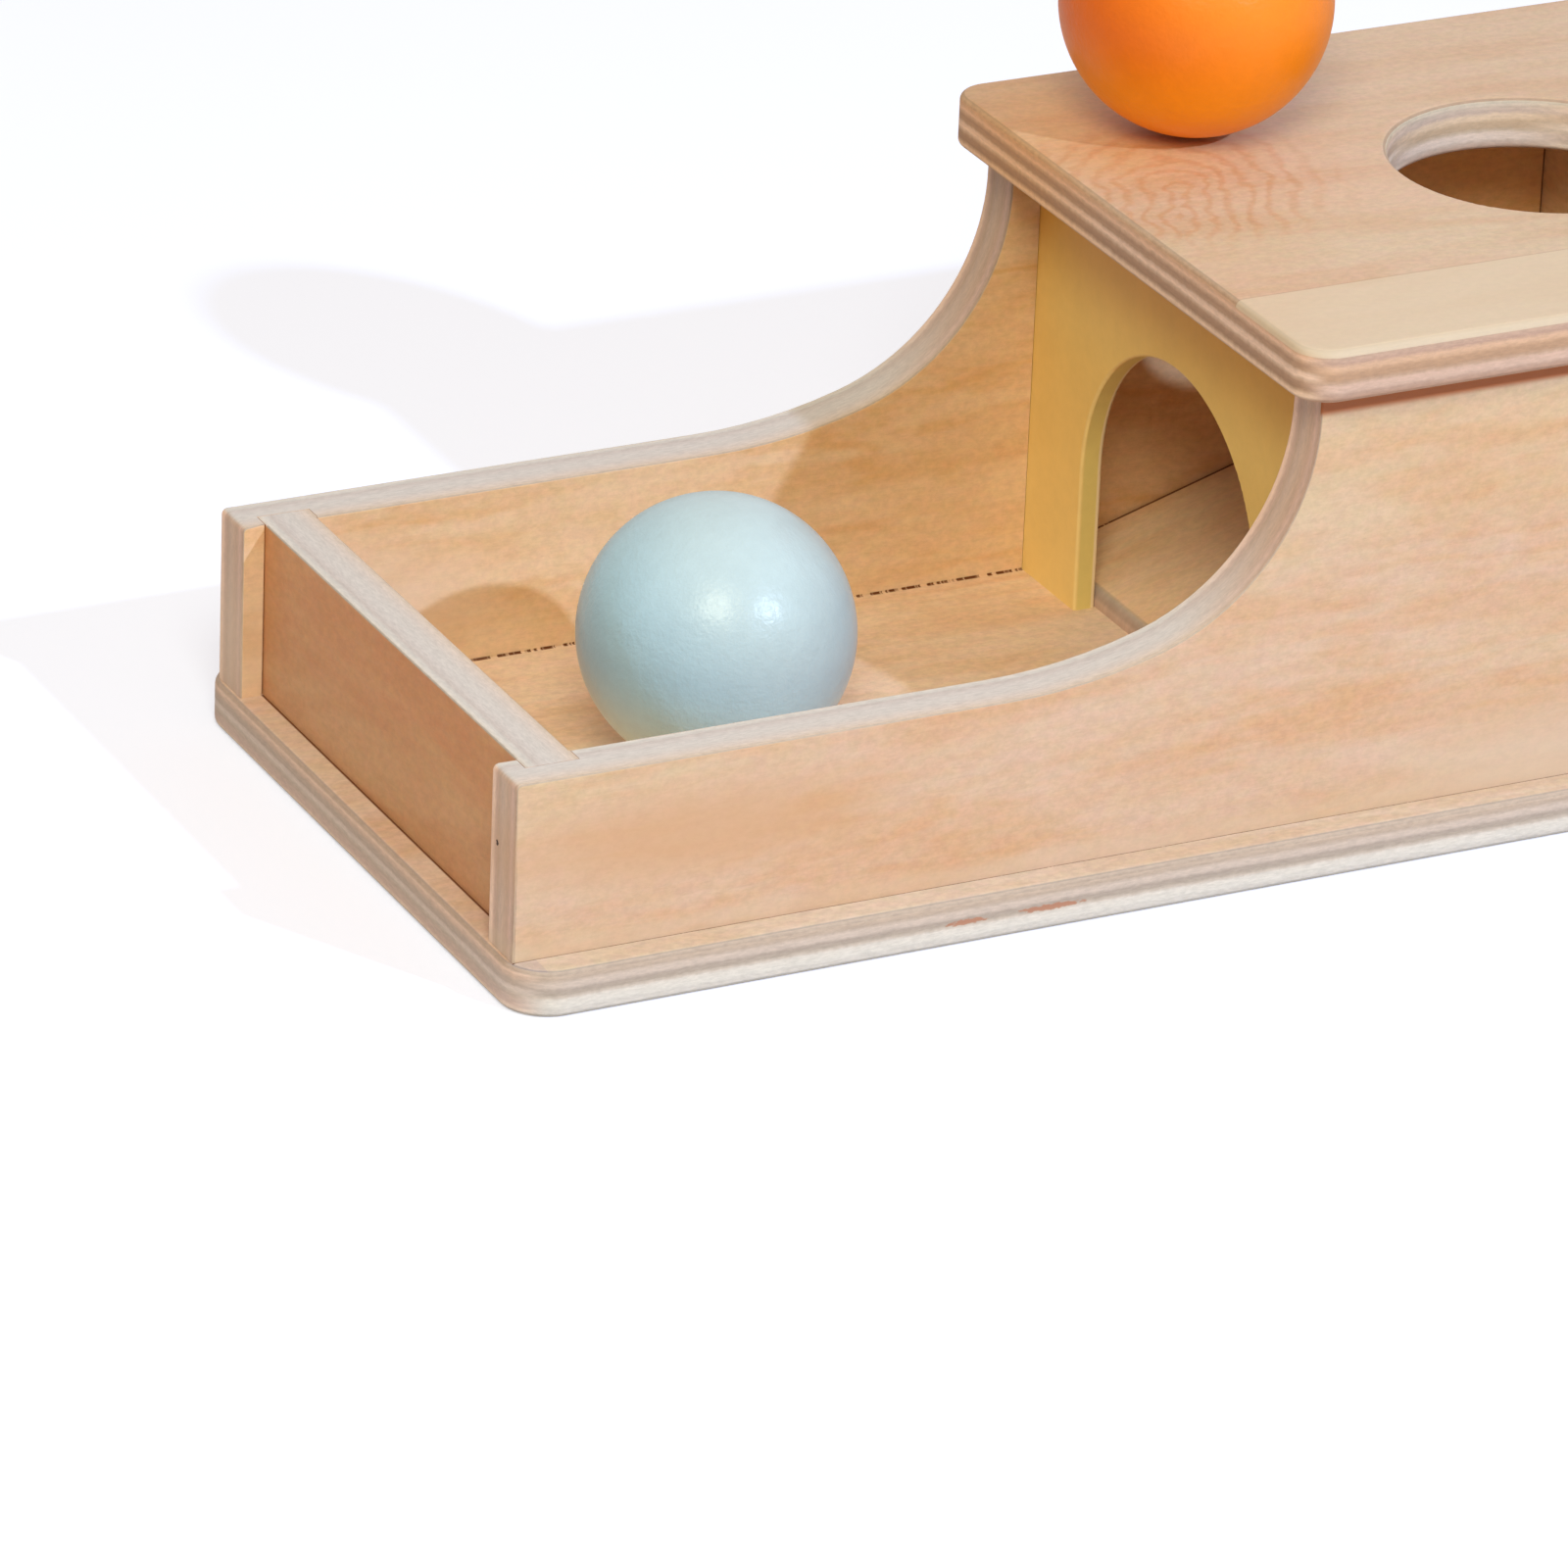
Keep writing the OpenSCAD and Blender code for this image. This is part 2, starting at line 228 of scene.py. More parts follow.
WALL_LONG = [
    (0.00, srgb(210, 196, 182)),
    (0.06, srgb(221, 213, 206)),
    (0.15, srgb(211, 205, 201)),
    (0.22, srgb(203, 192, 188)),
    (0.32, srgb(210, 201, 198)),
    (0.47, srgb(213, 206, 203)),
    (0.62, srgb(212, 204, 200)),
    (0.74, srgb(215, 203, 197)),
    (0.85, srgb(220, 204, 194)),
    (0.93, srgb(214, 196, 181)),
    (1.00, srgb(212, 189, 168)),
]
WALL_END = [
    (0.02, srgb(240, 204, 184)),
    (0.12, srgb(243, 207, 188)),
    (0.22, srgb(207, 173, 158)),
    (0.33, srgb(197, 167, 149)),
    (0.43, srgb(204, 176, 162)),
    (0.53, srgb(208, 179, 162)),
    (0.65, srgb(205, 173, 154)),
    (0.75, srgb(205, 171, 153)),
    (0.85, srgb(216, 182, 169)),
    (0.95, srgb(198, 165, 148)),
]
TOP_LONG = [
    (0.00, srgb(198, 151, 122)),
    (0.04, srgb(204, 159, 134)),
    (0.12, srgb(179, 143, 125)),
    (0.18, srgb(180, 148, 132)),
    (0.24, srgb(202, 169, 153)),
    (0.34, srgb(205, 171, 154)),
    (0.40, srgb(184, 151, 129)),
    (0.46, srgb(177, 140, 114)),
    (0.55, srgb(184, 146, 118)),
    (0.62, srgb(205, 165, 137)),
    (0.68, srgb(208, 169, 142)),
    (0.75, srgb(186, 151, 134)),
    (0.82, srgb(191, 158, 140)),
    (0.89, srgb(188, 158, 138)),
    (0.94, srgb(202, 172, 148)),
    (0.99, srgb(206, 177, 154)),
]
TOP_END = [
    (0.00, srgb(240, 206, 180)),
    (0.07, srgb(246, 213, 188)),
    (0.14, srgb(234, 200, 176)),
    (0.19, srgb(196, 162, 138)),
    (0.24, srgb(166, 130, 108)),
    (0.35, srgb(177, 141, 118)),
    (0.41, srgb(206, 172, 150)),
    (0.47, srgb(240, 206, 187)),
    (0.53, srgb(222, 188, 168)),
    (0.58, srgb(184, 148, 125)),
    (0.67, srgb(178, 140, 117)),
    (0.73, srgb(202, 164, 140)),
    (0.79, srgb(232, 191, 166)),
    (0.85, srgb(216, 174, 146)),
    (0.90, srgb(207, 165, 136)),
    (0.96, srgb(238, 202, 171)),
]
BASE_LONG = [
    (0.00, srgb(208, 200, 195)),
    (0.10, srgb(212, 204, 199)),
    (0.16, srgb(203, 195, 190)),
    (0.24, srgb(214, 207, 201)),
    (0.38, srgb(216, 207, 200)),
    (0.44, srgb(197, 182, 171)),
    (0.50, srgb(174, 159, 148)),
    (0.59, srgb(173, 157, 147)),
    (0.65, srgb(198, 180, 170)),
    (0.73, srgb(203, 185, 174)),
    (0.81, srgb(186, 166, 152)),
    (0.89, srgb(190, 168, 152)),
    (0.95, srgb(213, 191, 174)),
]
BASE_END = [
    (0.00, srgb(220, 198, 190)),
    (0.12, srgb(236, 212, 200)),
    (0.19, srgb(210, 184, 176)),
    (0.30, srgb(205, 181, 174)),
    (0.38, srgb(198, 177, 168)),
    (0.45, srgb(203, 186, 178)),
    (0.51, srgb(217, 200, 194)),
    (0.57, srgb(212, 194, 188)),
    (0.62, srgb(190, 170, 161)),
    (0.72, srgb(196, 174, 163)),
    (0.79, srgb(210, 182, 168)),
    (0.88, srgb(226, 196, 180)),
    (0.96, srgb(210, 180, 162)),
]

# Steps through the noise from one board to the next, and from a board's one face to its other
NEXT_SHEET = 11.3
OTHER_FACE = 37.0


def growth_lines(tree, place, figure):
    """Growth lines: the contours of a slow noise with a curl in it, strong in patches."""
    drift_lines, curl_lines = 16.0, 1.9
    drift = noise(tree, place, (95, 15, 1), roughness=0.4)
    curl = noise(tree, place, (9, 3.2, 1))
    rise = plus(tree, times(tree, drift, drift_lines), times(tree, curl, curl_lines))
    line = remap(tree, maths(tree, "PINGPONG", rise, 1.0), 0.35, 0.95)
    patchy = remap(tree, noise(tree, place, (42, 11, 1)), 0.38, 0.62)
    return times(tree, times(tree, line, patchy), figure)


def nested_arches(tree, place, offset, turn, reach):
    """Arches nested round one centre, wider apart further out. Their closed end looks along an
    axis turned from the grain, their legs run on the other way, and they fade out at reach."""
    tip, leg_start, drawn_out = 2.5, -4.0, 0.62
    swerve_by, widening, crowding, half_line = 9.0, 0.8, 1.35, 1.15
    turned = node(tree, "VectorRotate", {"Vector": offset, "Angle": turn},
                  rotation_type="Z_AXIS", invert=True).outputs[0]
    side = split(tree, turned)
    ahead = times(tree, maths(tree, "MAXIMUM", side[X], leg_start), drawn_out)
    out = length(tree, joined(tree, plus(tree, ahead, tip), side[Y]))
    swerve = times(tree, noise(tree, place, (12, 9, 1), detail=3.0, roughness=0.6), swerve_by)
    spread = times(tree, maths(tree, "POWER", plus(tree, out, swerve), widening), crowding)
    arch = remap(tree, maths(tree, "PINGPONG", spread, half_line), 0.40, 1.08)
    fading = remap(tree, divided(tree, length(tree, turned), reach), 0.5, 1.0, 0.46, 0.0)
    return times(tree, arch, fading)


def veneer_colour(tree, place, given, lines):
    """The face's colour: clouds, blots and streaks drawn out along the grain, the growth lines,
    and a fine play of hue."""
    cloud_share, blot_share, streak_share = 0.66, 0.17, 0.17
    cloud = noise(tree, place, (42, 9, 1), detail=3.0, roughness=0.55, distortion=0.4)
    blot = noise(tree, place, (6, 3.4, 1), detail=3.0, roughness=0.6, distortion=0.3)
    streak = noise(tree, place, (15, 1.7, 1), detail=3.0, roughness=0.62, distortion=0.8)
    warm = plus(tree, times(tree, remap(tree, cloud, 0.38, 0.68), cloud_share),
                times(tree, remap(tree, blot, 0.34, 0.70), blot_share))
    warm = plus(tree, warm, times(tree, remap(tree, streak, 0.34, 0.74), streak_share))
    tone = maths(tree, "ADD", times(tree, warm, given["Clouds"]), lines, clamp=True)
    drift = remap(tree, noise(tree, place, (120, 26, 1), detail=1.5), 0.48, 0.68)
    ground = mixed(tree, drift, given["Pale"], given["Cream"])
    colour = mixed(tree, tone, ground, given["Deep"])
    hue = remap(tree, noise(tree, place, (3.2, 2.4, 1), roughness=0.6), 0.3, 0.7)
    tint = mixed(tree, hue, (1.012, 0.982, 1.008, 1.0), (0.990, 1.012, 0.975, 1.0))
    return mixed(tree, 1.0, colour, tint, "MULTIPLY")


def make_ply(name, long_layers, end_layers):
    """Plywood from a place along and across the grain and a share of the thickness. Facing is 1
    on a face and 0 on an edge, and End is 1 on an end edge. Seed picks the sheets of veneer, and
    Slant leans their grain. Clouds, Figure and Specks are the strengths of the face's clouds,
    growth lines and specks. Centre, Turn and Reach place the arches. Arrises get painted shade,
    a darker colour that tones down the light they catch."""
    floats = ("Along", "Across", "Depth", "Facing", "End", "Seed", "Slant", "Clouds", "Figure",
              "Centre Along", "Centre Across", "Turn", "Reach", "Specks")
    tree, given, result = group(
        name,
        dict.fromkeys(floats, "Float") | dict.fromkeys(("Pale", "Deep", "Cream"), "Color"),
        {"Color": "Color", "Roughness": "Float", "Height": "Float"},
    )
    along = times(tree, given["Along"], TO_MM)
    straight = times(tree, given["Across"], TO_MM)
    across = plus(tree, straight, times(tree, along, given["Slant"]))
    face = times(tree, above(tree, given["Depth"], 0.5), OTHER_FACE)
    sheet = plus(tree, face, times(tree, given["Seed"], NEXT_SHEET))
    place = joined(tree, along, across, sheet)

    # Face veneers, with specks and short pores
    offset = joined(tree, minus(tree, along, given["Centre Along"]),
                    minus(tree, straight, given["Centre Across"]))
    lines = plus(tree, growth_lines(tree, place, given["Figure"]),
                 nested_arches(tree, place, offset, given["Turn"], given["Reach"]))
    face_colour = veneer_colour(tree, place, given, lines)
    fleck = noise(tree, place, (2.3, 0.42, 1), detail=2.5, roughness=0.68)
    speckle = noise(tree, place, (1.7, 1.2, 1), detail=3.0, roughness=0.72)
    pore = remap(tree, noise(tree, place, (3.4, 0.22, 1), detail=1.0), 0.62, 0.72)
    light = plus(tree, remap(tree, fleck, 0.25, 0.75, -0.024, 0.024),
                 remap(tree, speckle, 0.25, 0.75, -0.075, 0.075))
    light = minus(tree, light, times(tree, pore, 0.040))
    face_shade = plus(tree, times(tree, light, given["Specks"]), 1.0)

    # Layers on the edges, a little uneven along the cut
    uneven = remap(tree, noise(tree, place, (80, 80, 80)), 0.3, 0.7, -0.016, 0.016)
    ragged = remap(tree, noise(tree, place, (1.1, 1.1, 1.1)), 0.3, 0.7, -0.009, 0.009)
    layer = plus(tree, given["Depth"], plus(tree, uneven, ragged))
    edge_colour = mixed(tree, remap(tree, given["End"], 0.35, 0.95),
                        ramp(tree, layer, long_layers), ramp(tree, layer, end_layers))
    layers_apart = 24.0
    in_layer = joined(tree, along, across, times(tree, given["Depth"], layers_apart))
    speck = noise(tree, in_layer, (1.8, 1.8, 1.2), detail=3.0, roughness=0.75)
    edge_shade = remap(tree, speck, 0.25, 0.75, 0.89, 1.10)

    # Face or edge, and the arris between, darkened there as painted shade
    on_face = remap(tree, given["Facing"], 0.80, 0.97)
    painted_arris_shade = times(tree, remap(tree, given["Facing"], 0.2, 0.5),
                  remap(tree, given["Facing"], 0.89, 0.95, 0.26, 0.0))
    shade = between(tree, on_face, edge_shade, face_shade)
    shade = times(tree, shade, minus(tree, 1.0, painted_arris_shade))
    grain = minus(tree, fleck, times(tree, pore, 0.5))
    feed(tree, result, {
        "Color": shaded(tree, mixed(tree, on_face, edge_colour, face_colour), shade),
        "Roughness": between(tree, on_face, remap(tree, speck, 0.2, 0.8, 0.58, 0.74),
                             remap(tree, fleck, 0.2, 0.8, 0.42, 0.56)),
        "Height": between(tree, on_face, speck, grain),
    })
    return tree


def make_joint_line():
    """The dark line of a joint: full strength at no distance from it, none past its width, none
    outside its run, and broken where the joint is tight."""
    floats = ("Distance", "Along", "Width", "Breaks", "From", "To")
    tree, given, result = group(
        "joint_line", dict.fromkeys(floats, "Float"), {"Mask": "Float"}
    )
    run = joined(tree, times(tree, given["Along"], TO_MM))
    waver = noise(tree, run, (2.8, 1, 1), detail=3.0, roughness=0.7)
    open_here = remap(tree, minus(tree, waver, given["Breaks"]), 0.0, 0.05)
    near = divided(tree, maths(tree, "ABSOLUTE", given["Distance"]), given["Width"])
    across = remap(tree, near, 0.5, 1.0, 1.0, 0.0)
    inside = times(tree, above(tree, given["Along"], given["From"]),
                   below(tree, given["Along"], given["To"]))
    feed(tree, result, {"Mask": times(tree, times(tree, across, open_here), inside)})
    return tree


WALL_PLY = make_ply("wall_plywood", WALL_LONG, WALL_END)
TOP_PLY = make_ply("top_plywood", TOP_LONG, TOP_END)
BASE_PLY = make_ply("base_plywood", BASE_LONG, BASE_END)
JOINT_LINE = make_joint_line()
JOINT_BROWN = srgb(112, 62, 28)

# A board shows its joint lines past this share of its thickness, so its other face has none
JOINTS_FROM_DEPTH = 0.25

# Arches that fade out this close to their centre don't show
NO_REACH = 0.01


def new_material(name):
    """An empty material with its surface shader."""
    material = bpy.data.materials.new(name)
    material.use_nodes = True
    tree = material.node_tree
    return material, tree, tree.nodes["Principled BSDF"]


def finish_surface(tree, surface, looks, height, strength, distance):
    """Feeds the looks to a surface shader, and small relief from a height."""
    feed(tree, surface, looks)
    bump = node(tree, "Bump", {"Height": height, "Strength": strength, "Distance": distance})
    feed(tree, surface, {"Normal": bump.outputs[0]})


def ply_material(name, plywood, axes, span, colours, joints=(), extra=None, **values):
    """Plywood for one board. axes are the board's own axes along the grain, across it and through
    it, and span is where its faces lie, the one that shows its joints last. colours are its pale,
    deep and cream tones. joints are (axis, place, run axis, width, breaks, from, to)."""
    material, tree, surface = new_material(name)
    coordinates = node(tree, "TexCoord").outputs
    place = split(tree, coordinates["Object"])
    normal = split(tree, coordinates["Normal"])
    grain, across, through = axes
    low, high = span
    inputs = {
        "Along": place[grain],
        "Across": place[across],
        "Depth": divided(tree, minus(tree, place[through], low), high - low),
        "Facing": maths(tree, "ABSOLUTE", normal[through]),
        "End": maths(tree, "ABSOLUTE", normal[grain]),
        "Clouds": 1.0,
        "Specks": 1.0,
        "Reach": NO_REACH,
        **dict(zip(("Pale", "Deep", "Cream"), colours)),
        **{key.replace("_", " ").title(): value for key, value in values.items()},
    }
    wood = use(tree, plywood, inputs)
    colour = wood["Color"]
    shown = above(tree, inputs["Depth"], JOINTS_FROM_DEPTH)
    for axis, where, run, width, breaks, start, stop in joints:
        inputs = {"Distance": minus(tree, place[axis], where), "Along": place[run],
                  "Width": width, "Breaks": breaks, "From": start, "To": stop}
        line = times(tree, use(tree, JOINT_LINE, inputs)["Mask"], shown)
        colour = mixed(tree, line, colour, JOINT_BROWN)
    if extra:
        colour = extra(tree, place, colour)
    looks = {"Base Color": colour, "Roughness": wood["Roughness"], "Specular IOR Level": 0.4}
    finish_surface(tree, surface, looks, wood["Height"], strength=0.3, distance=0.05 * MM)
    return material


def dress(name, material):
    """Gives a CAD node its material."""
    for slot in nodes[name].material_slots:
        slot.material = material


# Where the boards lie: see the named sizes of the part

BASE_TOP = 8 * MM
BASE_NEAR_EDGE = -62.5 * MM
WALL_INNER = 48 * MM
WALL_OUTER = 57 * MM
WALL_FRONT = -128.25 * MM
WALL_REAR = 123.75 * MM
WALL_EASE = 0.4 * MM
FRONT_EDGE = 8.75 * MM
TRAY_TOP = 38 * MM
TRAY_END = (-124.25 * MM, -115.25 * MM)
REAR_END = (110.75 * MM, 119.75 * MM)
PANEL = (14.25 * MM, 18.25 * MM)
LID = (82 * MM, 91 * MM)
HOLE_X = 80.25 * MM
HOLE_RADIUS = 25 * MM

# Pale, deep and cream tones of the veneers

WALL_TONES = (srgb(209, 178, 156), srgb(205, 157, 118), srgb(208, 180, 150))
FAR_TONES = (srgb(233, 200, 165), srgb(220, 172, 120), srgb(231, 201, 168))
TOP_TONES = (srgb(214, 187, 163), srgb(201, 157, 122), srgb(212, 190, 164))
FLOOR_TONES = (srgb(234, 208, 185), srgb(223, 185, 148), srgb(232, 210, 183))
RAMP_TONES = (srgb(240, 214, 188), srgb(228, 190, 150), srgb(238, 216, 186))
END_TONES = (srgb(208, 152, 110), srgb(200, 136, 92), srgb(204, 156, 110))


def spot(tree, place, centre, sizes):
    """1 within an oval blot round a centre, 0 outside it, with a ragged rim."""
    offset = [
        divided(tree, minus(tree, place[axis], centre[axis]), sizes[axis]) for axis in (X, Y, Z)
    ]
    away = length(tree, joined(tree, *offset))
    rim_place = joined(tree, *(times(tree, place[axis], TO_MM) for axis in (X, Y, Z)))
    rim = noise(tree, rim_place, (1.2, 1.2, 0.5))
    ragged = plus(tree, away, remap(tree, rim, 0.2, 0.8, -0.35, 0.35))
    return remap(tree, ragged, 0.8, 1.1, 1.0, 0.0)


def patch(tree, place, axes, centre, sizes, strength):
    """A soft oval: strength at its centre, 0 at its rim, in the plane of two axes."""
    offset = [
        divided(tree, minus(tree, place[axis], middle), size)
        for axis, middle, size in zip(axes, centre, sizes)
    ]
    return remap(tree, length(tree, joined(tree, *offset)), 0.15, 1.0, strength, 0.0)


# Brown gaps between two layers on the near edge of the base: middle x and half length

GAPS = ((-52.4 * MM, 3.4 * MM), (-37.6 * MM, 5.2 * MM))
GAP_HEIGHT = 4.0 * MM


def base_extras(tree, place, colour):
    """Brown gaps between layers on the near edge, and darker, cooler wood on the ledges outside
    the walls."""
    near_ledge = below(tree, place[Y], -WALL_OUTER)
    end_ledge = below(tree, place[X], TRAY_END[0])
    on_top = above(tree, place[Z], BASE_TOP - 0.25 * MM)
    colour = toned(tree, times(tree, near_ledge, on_top), colour, (0.80, 0.855, 0.93))
    colour = toned(tree, times(tree, end_ledge, on_top), colour, (0.89, 0.88, 0.97))
    for middle, half in GAPS:
        gap = spot(tree, place, centre=(middle, BASE_NEAR_EDGE, GAP_HEIGHT),
                   sizes=(half, 2 * MM, 0.5 * MM))
        colour = mixed(tree, times(tree, gap, 0.8), colour, srgb(176, 116, 88))
    return colour


# Where the two sheets of the top's veneer meet

SPLICE = -37.6 * MM


def top_veneer_and_painted_light(tree, place, colour):
    """The near strip of the top's veneer comes from a paler sheet, with a fine dark line between.
    A warm patch in the corner by the arch is a painted shadow of the orange ball with its painted
    orange bounce light, and the hole's cut edge is painted paler, as painted light bounced into it."""
    # Painted shadow and painted orange bounce light of the ball that rests by the arch
    painted_ball_shadow = patch(tree, place, (X, Y), centre=(16 * MM, 36 * MM), sizes=(32 * MM, 38 * MM),
                   strength=1.0)
    colour = toned(tree, painted_ball_shadow, colour, (1.08, 0.88, 0.58))
    # Painted light: the hole's cut edge is made paler, as if light bounced into the hole
    from_hole = length(tree, joined(tree, minus(tree, place[X], HOLE_X), place[Y]))
    rim = below(tree, from_hole, HOLE_RADIUS + 0.3 * MM)
    colour = toned(tree, rim, colour, (1.3, 1.6, 1.75))
    side = minus(tree, place[Y], SPLICE)
    on_top = above(tree, place[Z], LID[1] - 1.2 * MM)
    strip = times(tree, remap(tree, side, -0.1 * MM, 0.1 * MM, 1.0, 0.0), on_top)
    paler = mixed(tree, 0.62, colour, srgb(220, 203, 178))
    colour = mixed(tree, strip, colour, paler)
    seam = remap(tree, maths(tree, "ABSOLUTE", side), 0.0, 0.3 * MM, 0.30, 0.0)
    return mixed(tree, times(tree, seam, on_top), colour, srgb(150, 96, 60))


# Patches on the near wall's outer face: middle x and z, half sizes, strength and colour

NEAR_BAND = ((-98 * MM, 25 * MM), (50 * MM, 12 * MM), 0.72, srgb(203, 156, 118))
NEAR_KNOT = ((-39 * MM, 41.5 * MM), (5 * MM, 2.6 * MM), 0.45, srgb(196, 146, 108))
NEAR_LOW = ((66 * MM, 10 * MM), (64 * MM, 20 * MM), 0.55, srgb(212, 188, 170))


def near_wall_marks_and_painted_shadow(tree, place, colour):
    """A warm band in the veneer by the tray's end, a knot, and paler wood low by the chamber. A
    pin's dark mark on the wall's end, a rubbed pale foot, and a painted shadow of the top board's
    overhang: a dark band on the wall just under it."""
    for centre, sizes, strength, tone in (NEAR_BAND, NEAR_KNOT, NEAR_LOW):
        share = patch(tree, place, (X, Z), centre, sizes, strength)
        colour = mixed(tree, share, colour, tone)
    foot = remap(tree, place[Z], BASE_TOP + 1.5 * MM, BASE_TOP + 4.5 * MM, 0.35, 0.0)
    colour = mixed(tree, foot, colour, srgb(216, 192, 166))
    # Painted shadow: the top board's overhang darkens a band of the wall just under it
    painted_shade_under_lid = above(tree, place[X], FRONT_EDGE)
    high = remap(tree, place[Z], LID[0] - 4.4 * MM, LID[0] - 3.2 * MM)
    colour = mixed(tree, times(tree, high, painted_shade_under_lid), colour, srgb(170, 98, 56))
    mark = spot(tree, place, centre=(WALL_FRONT, -50.6 * MM, 25.7 * MM), sizes=(0.5 * MM,) * 3)
    return mixed(tree, mark, colour, srgb(64, 40, 32))


def inner_wood_and_painted_shade(tree, place, colour):
    """Inside the covered chamber the colour is browner towards the arch, painted shade for the dim
    chamber, and paler towards the rear. In the tray it is darker high up, painted shade by the top
    board, with a pale patch of wood low by the tray's end."""
    behind = above(tree, place[X], PANEL[0])
    inside = below(tree, place[Y], WALL_INNER + 1 * MM)
    # Painted shade: browner in the front of the covered chamber
    painted_shade_under_lid = times(tree, remap(tree, place[X], 62 * MM, 90 * MM, 1.0, 0.0), behind)
    colour = toned(tree, times(tree, painted_shade_under_lid, inside), colour, (1.0, 0.92, 0.82))
    rear = remap(tree, place[X], 70 * MM, 90 * MM)
    colour = toned(tree, rear, colour, (1.15, 1.12, 1.0))
    # Painted shade: darker high up in the tray, by the top board
    high = maths(tree, "SUBTRACT", remap(tree, place[Z], 42 * MM, 72 * MM), behind, clamp=True)
    colour = toned(tree, high, colour, (0.88, 0.88, 0.84))
    pale = patch(tree, place, (X, Z), centre=(-110 * MM, 16 * MM), sizes=(38 * MM, 22 * MM),
                 strength=0.6)
    return mixed(tree, pale, colour, srgb(225, 201, 182))


def end_extras(tree, place, colour):
    """The end wall's veneer is warmer towards its top, up to the sanded edges."""
    warm = remap(tree, place[Z], 12 * MM, 36 * MM)
    tint = mixed(tree, warm, (1.0, 1.10, 1.14, 1.0), (1.0, 0.95, 0.84, 1.0))
    below_edge = below(tree, place[Z], TRAY_TOP - WALL_EASE)
    return mixed(tree, below_edge, colour, tint, "MULTIPLY")


# Grain along the box, flat or upright, and across the box. The ramp slopes, so its height says
# nothing of its layers, and one span holds all of it between its faces.

FLAT, UPRIGHT, CROSSWISE = (X, Y, Z), (X, Z, Y), (Y, Z, X)
RAMP_SPAN = (-1.0, 2.0)
RAMP_SIDE = 47.7 * MM
ANYWHERE = (-1.0, 1.0)
IN_TRAY = (TRAY_END[1], PANEL[0])
NEAR_FOOT = (WALL_FRONT + 0.05 * MM, WALL_REAR - 0.05 * MM)

dress(
    "base_board",
    ply_material(
        "base_birch", BASE_PLY, FLAT, (0, BASE_TOP), FLOOR_TONES, seed=1.0, figure=0.25,
        slant=0.02, clouds=0.8, specks=1.3, extra=base_extras,
        joints=[(Y, WALL_INNER, X, 0.7 * MM, 0.46, *IN_TRAY),
                (Y, -WALL_OUTER, X, 0.16 * MM, 0.36, *NEAR_FOOT),
                (X, TRAY_END[0], Y, 0.5 * MM, 0.20, -WALL_INNER, WALL_INNER)],
    ),
)
dress(
    "tray_end_wall",
    ply_material(
        "end_wall_birch", WALL_PLY, CROSSWISE, TRAY_END, END_TONES, seed=5.0, figure=0.1,
        slant=0.12, extra=end_extras,
    ),
)
dress(
    "rear_end_wall",
    ply_material(
        "rear_wall_birch", WALL_PLY, CROSSWISE, REAR_END, FAR_TONES, seed=6.0, figure=0.12,
    ),
)
dress(
    "ramp_board",
    ply_material(
        "ramp_birch", BASE_PLY, FLAT, RAMP_SPAN, RAMP_TONES, seed=7.0, figure=0.1,
        joints=[(Y, RAMP_SIDE, X, 0.5 * MM, 0.36, *ANYWHERE)], extra=inner_wood_and_painted_shade,
    ),
)
dress(
    "top_board",
    ply_material(
        "top_birch", TOP_PLY, FLAT, LID, TOP_TONES, seed=3.0, figure=0.12, slant=0.03,
        clouds=0.5, centre_along=18.5, centre_across=11.0, turn=math.radians(65), reach=34.0,
        extra=top_veneer_and_painted_light,
    ),
)

# Side walls: the CAD walls with the edges of their outline sanded round

NEARLY = 0.01 * MM


def sanded_wall(name, material):
    """A copy of a CAD wall with its triangles joined into whole faces. Edges that lie on the inner
    or the outer face are rounded over, apart from the foot, the head, the part beside the chamber
    and the sides of the housing for the end wall."""
    shell = bmesh.new()
    shell.from_mesh(nodes[name].data)
    bmesh.ops.remove_doubles(shell, verts=shell.verts, dist=NEARLY)
    bmesh.ops.dissolve_limit(
        shell, angle_limit=math.radians(0.5), verts=shell.verts, edges=shell.edges
    )
    mesh = bpy.data.meshes.new(name + "_sanded")
    shell.to_mesh(mesh)
    shell.free()
    if "custom_normal" in mesh.attributes:
        mesh.attributes.remove(mesh.attributes["custom_normal"])
    points = np.zeros(len(mesh.vertices) * 3)
    mesh.vertices.foreach_get("co", points)
    pairs = np.zeros(len(mesh.edges) * 2, int)
    mesh.edges.foreach_get("vertices", pairs)
    ends = points.reshape(-1, 3)[pairs.reshape(-1, 2)]
    x, y, z = (ends[:, :, axis] for axis in (X, Y, Z))
    on_inner = (abs(abs(y) - WALL_INNER) < NEARLY).all(1)
    on_outer = (abs(abs(y) - WALL_OUTER) < NEARLY).all(1)
    foot = (abs(z - BASE_TOP) < NEARLY).all(1)
    head = (abs(z - LID[0]) < NEARLY).all(1)
    beside_chamber = x.mean(1) > FRONT_EDGE + NEARLY
    upright = abs(x[:, 0] - x[:, 1]) < NEARLY
    housing = upright & (abs(x.mean(1) - sum(TRAY_END) / 2) < TRAY_END[1] - TRAY_END[0])
    housing &= x.mean(1) > TRAY_END[0] - NEARLY
    rounded = (on_inner | on_outer) & ~foot & ~head & ~beside_chamber & ~housing
    weights = mesh.attributes.new("bevel_weight_edge", "FLOAT", "EDGE")
    weights.data.foreach_set("value", rounded.astype(np.float32))
    mesh.materials.clear()
    mesh.materials.append(material)
    mesh.shade_smooth()
    mesh.set_sharp_from_angle(angle=math.radians(35))
    wall = bpy.data.objects.new(name + "_sanded", mesh)
    scene.collection.objects.link(wall)
    bevel = wall.modifiers.new("sanding", "BEVEL")
    bevel.limit_method = "WEIGHT"
    bevel.width = WALL_EASE
    bevel.segments = 4
    bevel.harden_normals = True
    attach(wall, "box")
    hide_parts(name)


